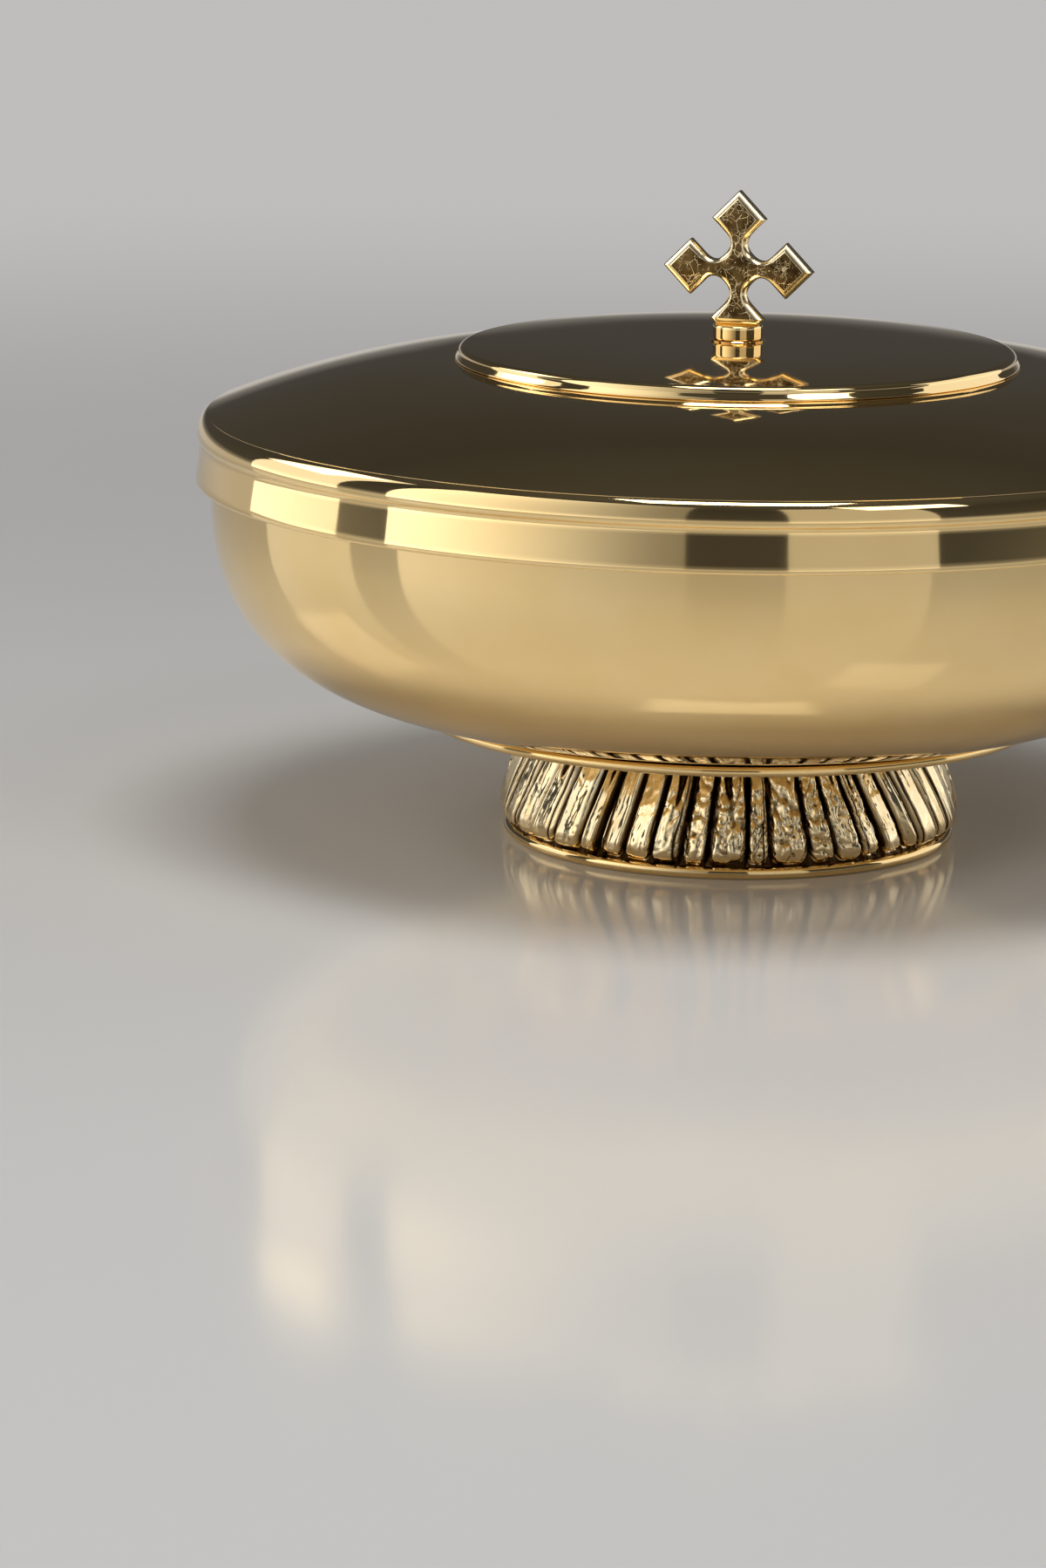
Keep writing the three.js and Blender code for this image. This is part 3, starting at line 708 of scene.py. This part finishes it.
def build_spring_washer():
    """A split washer: a ring with eased outer edges and a slanting slit."""
    bottom, top = low("foot_spring_washer"), high("foot_spring_washer")
    bore, radius, ease = ROD_RADIUS + THREAD_PLAY, SPRING_RADIUS, WASHER_EASE
    section = [(bore, bottom), (radius - ease, bottom), (radius, bottom + ease), (radius, top - ease)]
    section += [(radius - ease, top), (bore, top)]
    size = len(section)
    verts, faces = [], []
    for i in range(SPRING_COLUMNS + 1):
        turn = SLIT_HALF + (2 * math.pi - 2 * SLIT_HALF) * i / SPRING_COLUMNS
        for r, z in section:
            lean = SLIT_LEAN * (z - bottom) / (top - bottom)
            verts.append((r * MM * math.cos(turn + lean), r * MM * math.sin(turn + lean), z * MM))
    for i in range(SPRING_COLUMNS):
        for k in range(size):
            following = (k + 1) % size
            first, second = i * size, (i + 1) * size
            faces.append([first + k, first + following, second + following, second + k])
    faces.append(list(range(size)))
    faces.append(list(range(SPRING_COLUMNS * size, (SPRING_COLUMNS + 1) * size)))
    return new_object("foot_spring_washer_look", verts, faces)


# Cup

def build_flange():
    """The thin plate between the foot and the cup, with a spigot that centres the band."""
    under, top = BAND_TOP, FLANGE_TOP
    spigot = low("flange_plate")
    bore = BOSS_RADIUS + THREAD_PLAY
    half = (top - under) / 2
    profile = [(bore, under), (SPIGOT_BORE, under), (SPIGOT_BORE, spigot)]
    profile += [(SPIGOT_RADIUS, spigot), (SPIGOT_RADIUS, under)]
    profile += line((SPIGOT_RADIUS + 0.8, under), (FLANGE_FLAT_RADIUS, under), 6)
    profile += arc((FLANGE_RADIUS - FLANGE_ROUND, under + half), (FLANGE_ROUND, half), -90, 90, 18)
    profile += line((FLANGE_FLAT_RADIUS, top), (bore, top), 5)
    return turned("flange_plate_look", profile, MIRROR_SMOOTH)


def cup_curve(inset, steps):
    """One face of the cup, from its flat bottom round to its upright wall."""
    bottom = low("cup") + inset
    points = []
    for i in range(steps + 1):
        turn = i / steps * math.pi / 2
        across = math.sin(turn) ** (2 / CUP_ROUNDNESS)
        up = 1 - max(0.0, math.cos(turn)) ** (2 / CUP_ROUNDNESS)
        radius = CUP_FLAT_RADIUS + (CUP_RADIUS - inset - CUP_FLAT_RADIUS) * across
        points.append((radius, bottom + (CUP_ROUND_TOP - bottom) * up))
    return points


def build_cup():
    """The cup: one wall with a rounded mouth, closed at the axis above and below."""
    lip = CUP_WALL / 2
    under, floor = low("cup"), low("cup") + CUP_WALL
    wall_top = CUP_MOUTH - lip - 0.5
    inner_wall = CUP_RADIUS - CUP_WALL
    profile = [(radius, under) for radius in CUP_FLAT_STEPS] + cup_curve(0, 90)
    profile += line((CUP_RADIUS, CUP_ROUND_TOP + 1), (CUP_RADIUS, wall_top), 4)
    profile += arc((CUP_RADIUS - lip, CUP_MOUTH - lip), (lip, lip), 0, 180, 12)
    profile += line((inner_wall, wall_top), (inner_wall, CUP_ROUND_TOP + 1), 4)
    profile += reversed(cup_curve(CUP_WALL, 90))
    profile += [(radius, floor) for radius in reversed(CUP_FLAT_STEPS)]
    return turned("cup_look", profile, MIRROR_SMOOTH)


def build_rim_ring():
    """The ring round the outside of the cup's mouth, which carries the lid."""
    bottom, top = low("cup_rim_ring"), high("cup_rim_ring")
    bore, edge = CUP_RADIUS + RIM_RING_PLAY, RIM_RING_RADIUS - RIM_RING_ROUND
    profile = [(bore, bottom)]
    profile += arc((edge, bottom + RIM_RING_FOOT_ROUND), (RIM_RING_ROUND, RIM_RING_FOOT_ROUND), -80, 0, 6)
    profile += arc((edge, top - RIM_RING_ROUND), (RIM_RING_ROUND, RIM_RING_ROUND), 0, 84, 7)
    return turned("cup_rim_ring_look", profile + [(bore, top)], MIRROR_SMOOTH)


# Lid

def build_lid_band():
    """The rim: a skirt, a crisp crease, and a bead that is widest low and leans in to the dome."""
    ease, lip = SKIRT_EASE, SKIRT_LIP
    profile = [(SKIRT_BORE, SKIRT_BOTTOM + ease)]
    profile += arc((SKIRT_BORE + ease, SKIRT_BOTTOM + ease), (ease, ease), 190, 260, 3)
    profile += arc((SKIRT_RADIUS - lip, SKIRT_BOTTOM + lip), (lip, lip), -90, 0, 8)
    profile += line(SKIRT_FOOT, SKIRT_TOP, 8) + RIM_FLARE
    profile += arc(BEAD_FOOT, BEAD_FOOT_ROUND, -90, 0, 8)
    profile += arc(BEAD_CENTRE, BEAD_ROUND, BEAD_START, BEAD_END, 26)
    profile += [(DOME_SEAT_RADIUS, high("lid_band") - 0.12), (DOME_SEAT_RADIUS, DOME_SEAT)]
    profile += [(LID_SEAT_BORE, DOME_SEAT), (LID_SEAT_BORE, LID_SEAT), (SKIRT_BORE, LID_SEAT)]
    return turned("lid_band_look", profile, MIRROR_SMOOTH, sharp=24)


def dome_height(radius):
    """Height of the dome's outer face at a radius."""
    out = max(0.0, radius - DOME_FLAT_RADIUS) / DOME_REACH
    return DOME_TOP - DOME_DROP * out**DOME_CURVE


def build_lid_dome():
    """The dome: flat under the disc, and curving down to its seat in the band."""
    edge = DOME_SEAT_RADIUS - DOME_PLAY
    ceiling = DOME_TOP - DOME_WALL
    outside = []
    for radius, _ in line((DOME_FLAT_RADIUS, 0), (edge, 0), 48):
        outside.append((radius, dome_height(radius)))
    inside = [(radius, height - DOME_WALL) for radius, height in reversed(outside[:-2])]
    profile = [(radius, DOME_TOP) for radius in (STUD_HOLE, *DOME_FLAT_STEPS)] + outside
    profile += [(edge, DOME_SEAT), (edge - DOME_FOOT, DOME_SEAT)] + inside
    profile += [(radius, ceiling) for radius in (*reversed(DOME_FLAT_STEPS), STUD_HOLE)]
    return turned("lid_dome_look", profile, MIRROR_SMOOTH)


def build_lid_disc():
    """The raised disc: a sloping edge, a rounded shoulder and a shallow crown."""
    foot = DISC_RADIUS - DISC_FOOT_ROUND
    edge = DISC_SHOULDER_RADIUS - DISC_EDGE_REACH
    profile = [(STUD_HOLE, DOME_TOP), (20, DOME_TOP), (foot, DOME_TOP)]
    profile += arc((foot, DOME_TOP + DISC_FOOT_ROUND), (DISC_FOOT_ROUND, DISC_FOOT_ROUND), -80, 10, 5)
    profile += line((DISC_RADIUS - 0.08, DOME_TOP + 0.4), (DISC_SHOULDER_RADIUS, DISC_SHOULDER - 0.1), 4)
    profile += arc((edge, DISC_SHOULDER), (DISC_EDGE_REACH, DISC_EDGE_RISE), 2, 88, 20)
    steps = 40
    for i in range(1, steps + 1):
        outwards = 1 - (i / steps) ** 1.5
        radius = STUD_HOLE + (edge - STUD_HOLE) * outwards
        profile.append((radius, DISC_TOP - DISC_CROWN * outwards**DISC_CROWN_POWER))
    return turned("lid_disc_look", profile, MIRROR_SMOOTH, sharp=40)


# Finial

def build_post():
    """A short post with rounded edges, bored from below for the stud."""
    bore, ease = STUD_RADIUS + THREAD_PLAY, POST_ROUND
    roof = high("finial_stud") + THREAD_PLAY
    profile = [(0, roof), (bore, roof), (bore, POST_BOTTOM)]
    profile += arc((POST_RADIUS - ease, POST_BOTTOM + ease), (ease, ease), -90, 0, 6)
    profile += line((POST_RADIUS, POST_BOTTOM + 2 * ease), (POST_RADIUS, POST_TOP - 2 * ease), 4)
    profile += arc((POST_RADIUS - ease, POST_TOP - ease), (ease, ease), 0, 90, 6) + [(0, POST_TOP)]
    return turned("finial_post_look", profile, SMOOTH)


def cross_outline():
    """The cross's outline in its own plane, centred where its arms meet, with its foot cut level."""
    corner = (DIAMOND_SPACING / 2, DIAMOND_HALF - DIAMOND_SPACING / 2)
    steps = 10
    fillet = []
    for i in range(steps + 1):
        share = i / steps
        start, middle, end = (1 - share) ** 2, 2 * share * (1 - share), share**2
        x = start * (corner[0] + NECK_REACH) + middle * corner[0] + end * (corner[0] - NECK_REACH)
        y = start * (corner[1] + NECK_REACH) + middle * corner[1] + end * (corner[1] + NECK_REACH)
        fillet.append((x, y))
    mirrored = [(y, x) for x, y in reversed(fillet)]
    quarter = [(DIAMOND_SPACING + DIAMOND_HALF, 0), (DIAMOND_SPACING, DIAMOND_HALF)]
    quarter += fillet + mirrored + [(DIAMOND_HALF, DIAMOND_SPACING)]
    outline = []
    for cosine, sine in ((1, 0), (0, 1), (-1, 0), (0, -1)):
        outline += [(x * cosine - y * sine, x * sine + y * cosine) for x, y in quarter]
    cut = -DIAMOND_SPACING - CROSS_CUT
    half = DIAMOND_HALF - CROSS_CUT
    kept = []
    for x, y in outline:
        kept += [(x, y)] if y > cut else [(-half, cut), (half, cut)]
    return kept


def bevel_share(point):
    """Share of the bevel's width at a point of the outline: all on the diamonds and less at the necks."""
    along, across = sorted((abs(point[0]), abs(point[1])), reverse=True)
    from_neck = math.hypot(along - DIAMOND_SPACING / 2, across)
    beyond = max(0.0, from_neck - NECK_HALF_LENGTH) / NECK_FADE
    return min(1.0, NECK_BEVEL_SHARE + (1 - NECK_BEVEL_SHARE) * beyond)


def inset_outline(outline, width):
    """The outline drawn in by the bevel's share of a width, its corners kept sharp."""
    count = len(outline)
    moved = []
    for i, here in enumerate(outline):
        point = Vector(here)
        before = (point - Vector(outline[i - 1])).normalized()
        after = (Vector(outline[(i + 1) % count]) - point).normalized()
        first = Vector((before.y, -before.x))
        second = Vector((after.y, -after.x))
        inset = width * bevel_share(here)
        moved.append(point - inset * (first + second) / (1 + first.dot(second)))
    return moved


def bevel_layers():
    """The plate's layers from front to back: how far each is drawn in, and its depth."""
    inmost = math.cos(BEVEL_START) - math.cos(BEVEL_END)
    highest = math.sin(BEVEL_END) - math.sin(BEVEL_START)
    layers = []
    for i in range(BEVEL_STEPS + 1):
        turn = BEVEL_START + (BEVEL_END - BEVEL_START) * i / BEVEL_STEPS
        inwards = (math.cos(BEVEL_START) - math.cos(turn)) / inmost
        upwards = (math.sin(turn) - math.sin(BEVEL_START)) / highest
        layers.append((CROSS_BEVEL * inwards, CROSS_THICKNESS / 2 - CROSS_BEVEL_DEPTH * (1 - upwards)))
    return [(inset, -depth) for inset, depth in reversed(layers)] + layers


def hand_ease(point):
    """The small smooth shift, in millimetres, that handwork gave a point of the cross."""
    places = [point * HAND_EASE_SCALE + Vector(offset) for offset in HAND_EASE_OFFSETS]
    return HAND_EASE * Vector([noise.noise(place) for place in places])


def build_cross(face, bevel):
    """A plate with softly rounded bevels, eased by hand so that no two edges are quite alike."""
    outline = cross_outline()
    foot = DIAMOND_SPACING + CROSS_CUT
    layers = bevel_layers()
    verts = []
    for inset, depth in layers:
        for point in inset_outline(outline, inset):
            ease = hand_ease(Vector((point.x, depth, point.y)))
            x, y, z = point.x + ease.x, depth + ease.y, point.y + foot + ease.z
            verts.append((x * MM, y * MM, max(z, 0.0) * MM))
    size = len(outline)
    faces = [list(range(size)), list(range((len(layers) - 1) * size, len(layers) * size))]
    for layer in range(len(layers) - 1):
        for i in range(size):
            beside = (i + 1) % size
            first, second = layer * size, (layer + 1) * size
            faces.append([first + i, first + beside, second + beside, second + i])
    cross = new_object("finial_cross_look", verts, faces, sharp=26)
    for polygon in cross.data.polygons:
        polygon.material_index = 0 if len(polygon.vertices) > 4 else 1
    on_post = Matrix.Translation((0, 0, POST_TOP * MM))
    cross.data.transform(on_post @ Matrix.Rotation(CROSS_TURN, 4, "Z"))
    place(cross, "lid", "finial_cross", "scratched_gold", face, bevel)


# Assembly

def build_object():
    """All pieces of the ciborium, each in the place of its solid."""
    gold = polished_gold("polished_gold", GOLD, GOLD_DEEP)
    # The bevels' paler gold is a painted highlight
    bevel = polished_gold("bevel_painted_highlight", BEVEL_HIGHLIGHT_GOLD, BEVEL_HIGHLIGHT_GOLD_DEEP, softness=0.13)
    cast = cast_gold()
    scratched = scratched_gold()
    brass = turned_metal("plain_brass", BRASS, BRASS_DULL, 0.26, 0.44, 2600)
    steel = turned_metal("bright_steel", STEEL, STEEL_DULL, 0.24, 0.4, 3200)
    rod_bore = ROD_RADIUS + THREAD_PLAY
    stud_bore = STUD_RADIUS + THREAD_PLAY
    rod = thread_profile(ROD_RADIUS, low("tie_rod"), high("tie_rod"), chamfer=0.5, pitch=1.0)
    stud = thread_profile(STUD_RADIUS, low("finial_stud"), high("finial_stud"), chamfer=0.3, pitch=0.5)

    place(build_base_ring(), "vessel", "base_ring", "polished_gold", gold)
    place(build_foot_band(), "vessel", "foot_band", "cast_gold", cast)
    place(build_clamp_plate(), "vessel", "foot_clamp_plate", "plain_brass", brass)
    place(washer("foot_washer", rod_bore), "vessel", "foot_washer", "bright_steel", steel)
    place(build_spring_washer(), "vessel", "foot_spring_washer", "bright_steel", steel)
    place(nut("foot_nut", FOOT_NUT_WIDTH, rod_bore), "vessel", "foot_nut", "bright_steel", steel)
    place(turned("tie_rod_look", rod, SMALL), "vessel", "tie_rod", "bright_steel", steel)
    place(build_flange(), "vessel", "flange_plate", "polished_gold", gold)
    place(build_cup(), "vessel", "cup", "polished_gold", gold)
    place(build_rim_ring(), "vessel", "cup_rim_ring", "polished_gold", gold)

    place(build_lid_band(), "lid", "lid_band", "polished_gold", gold)
    place(build_lid_dome(), "lid", "lid_dome", "polished_gold", gold)
    place(build_lid_disc(), "lid", "lid_disc", "polished_gold", gold)
    place(washer("finial_washer", stud_bore), "lid", "finial_washer", "polished_gold", gold)
    place(build_post(), "lid", "finial_post", "polished_gold", gold)
    build_cross(scratched, bevel)
    place(turned("finial_stud_look", stud, SMALL), "lid", "finial_stud", "bright_steel", steel)
    place(washer("lid_washer", stud_bore), "lid", "lid_washer", "plain_brass", brass)
    place(nut("lid_nut", LID_NUT_WIDTH, stud_bore), "lid", "lid_nut", "plain_brass", brass)

    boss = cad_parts["cup_boss"]
    boss.data.materials.clear()
    boss.data.materials.append(brass)


# Stage

def build_floor():
    """A pale floor whose far part keeps one tone, so that it doesn't darken beyond the lamps."""
    look = Shader("floor")
    tone = look.noise(3.0, 2.0)
    look.set(Base_Color=look.mix(look.fit(tone, 0.3, 0.7, 0, 1), FLOOR_PALE, FLOOR_SHADE))
    look.set(Roughness=0.12, IOR=1.45)
    away = look.add("ShaderNodeVectorMath", {0: look.place}, operation="LENGTH").outputs["Value"]
    path = look.add("ShaderNodeLightPath").outputs
    seen = look.math("MAXIMUM", path["Is Camera Ray"], path["Is Glossy Ray"])
    seen = look.math("MAXIMUM", seen, path["Is Transmission Ray"])
    distances = {0: away, 1: 0.16, 2: 0.9, 3: 0.0, 4: 1.0}
    far = look.add("ShaderNodeMapRange", distances, interpolation_type="SMOOTHSTEP").outputs[0]
    glow = look.add("ShaderNodeEmission", {"Color": FAR_FLOOR}).outputs[0]
    share = look.math("MULTIPLY", far, seen)
    blend = look.add("ShaderNodeMixShader", {0: share, 1: look.surface.outputs[0], 2: glow})
    look.links.new(blend.outputs[0], look.nodes["Material Output"].inputs["Surface"])
    floor = new_object("floor", [(-8, -8, 0), (8, -8, 0), (8, 8, 0), (-8, 8, 0)], [(0, 1, 2, 3)])
    floor.data.materials.append(look.material)


def add_lamp(name, where, target, width, height, radiance, fade=1.0):
    """A soft box of a radiance, which falls across its width to a share. It isn't seen by the camera."""
    lamp = bpy.data.lights.new(name, "AREA")
    lamp.shape = "RECTANGLE"
    lamp.size, lamp.size_y = width, height
    lamp.energy = radiance * math.pi * width * height
    if fade < 1:
        lamp.use_nodes = True
        nodes, links = lamp.node_tree.nodes, lamp.node_tree.links
        across = nodes.new("ShaderNodeSeparateXYZ")
        links.new(nodes.new("ShaderNodeNewGeometry").outputs["Parametric"], across.inputs[0])
        fall = nodes.new("ShaderNodeMapRange")
        fall.interpolation_type = "SMOOTHSTEP"
        fall.inputs["To Min"].default_value = 1.0
        fall.inputs["To Max"].default_value = fade
        links.new(across.outputs[0], fall.inputs["Value"])
        links.new(fall.outputs[0], nodes["Emission"].inputs["Strength"])
    made = bpy.data.objects.new(name, lamp)
    bpy.context.scene.collection.objects.link(made)
    made.location = where
    aim = Vector(target) - Vector(where)
    made.rotation_euler = aim.to_track_quat("-Z", "Y").to_euler()
    made.visible_camera = False


def standing_box(name, direction, distance, width, height, radiance, fade=1.0):
    """An upright soft box that stands on the floor, at a direction in degrees to the right of the viewer."""
    turn = math.radians(direction)
    x, y = distance * math.sin(turn), -distance * math.cos(turn)
    add_lamp(name, (x, y, height / 2), (0, 0, height / 2), width, height, radiance, fade)


def build_lights():
    """Three soft boxes overhead, and four that stand round the object."""
    add_lamp("overhead", (0, -0.15, 1.05), (0, 0, 0), width=0.45, height=0.45, radiance=8.0)
    add_lamp("upper_right", (0.55, -0.6, 0.9), (0, 0, 0.08), width=0.4, height=0.35, radiance=3.0)
    add_lamp("upper_left", (-1.0, 0.35, 0.75), (0, 0, 0.08), width=0.5, height=0.5, radiance=2.0)
    standing_box("key", -42, 1.1, width=1.4, height=1.5, radiance=1.5, fade=0.15)
    standing_box("left_back", -103, 1.1, width=0.6, height=1.2, radiance=1.1)
    standing_box("right_front", 26, 1.1, width=0.6, height=1.2, radiance=0.5)
    standing_box("right_side", 110, 1.1, width=1.1, height=0.9, radiance=1.0)


def build_world():
    """A dim grey surround that is brighter towards the horizon."""
    world = bpy.data.worlds.new("studio")
    bpy.context.scene.world = world
    world.use_nodes = True
    nodes, links = world.node_tree.nodes, world.node_tree.links
    coordinate = nodes.new("ShaderNodeTexCoord")
    split = nodes.new("ShaderNodeSeparateXYZ")
    ramp = nodes.new("ShaderNodeValToRGB")
    links.new(coordinate.outputs["Generated"], split.inputs[0])
    links.new(split.outputs["Z"], ramp.inputs[0])
    stops = ramp.color_ramp.elements
    while len(stops) < len(SKY):
        stops.new(0.5)
    for stop, (position, grey) in zip(stops, SKY):
        stop.position = position
        stop.color = (grey, grey, grey, 1)
    links.new(ramp.outputs[0], nodes["Background"].inputs["Color"])
    nodes["Background"].inputs["Strength"].default_value = 1.0


def build_camera():
    """The camera that took the photograph, as fitted."""
    data = bpy.data.cameras.new("camera")
    data.sensor_width = SENSOR
    data.lens = FOCAL_PIXELS * SENSOR / IMAGE_HEIGHT
    data.clip_start, data.clip_end = 0.01, 50
    camera = bpy.data.objects.new("camera", data)
    bpy.context.scene.collection.objects.link(camera)
    yaw, pitch = CAMERA_YAW, CAMERA_PITCH
    ahead = Vector((math.sin(yaw) * math.cos(pitch), math.cos(yaw) * math.cos(pitch), -math.sin(pitch)))
    right = Vector((math.cos(yaw), -math.sin(yaw), 0))
    down = ahead.cross(right)
    rolled_right = right * math.cos(CAMERA_ROLL) - down * math.sin(CAMERA_ROLL)
    rolled_up = -(right * math.sin(CAMERA_ROLL) + down * math.cos(CAMERA_ROLL))
    turn = Matrix((rolled_right, rolled_up, -ahead)).transposed().to_4x4()
    camera.matrix_world = Matrix.Translation(CAMERA_PLACE) @ turn
    bpy.context.scene.camera = camera


build_object()
build_floor()
build_lights()
build_world()
build_camera()
bpy.context.scene.view_settings.view_transform = "Standard"
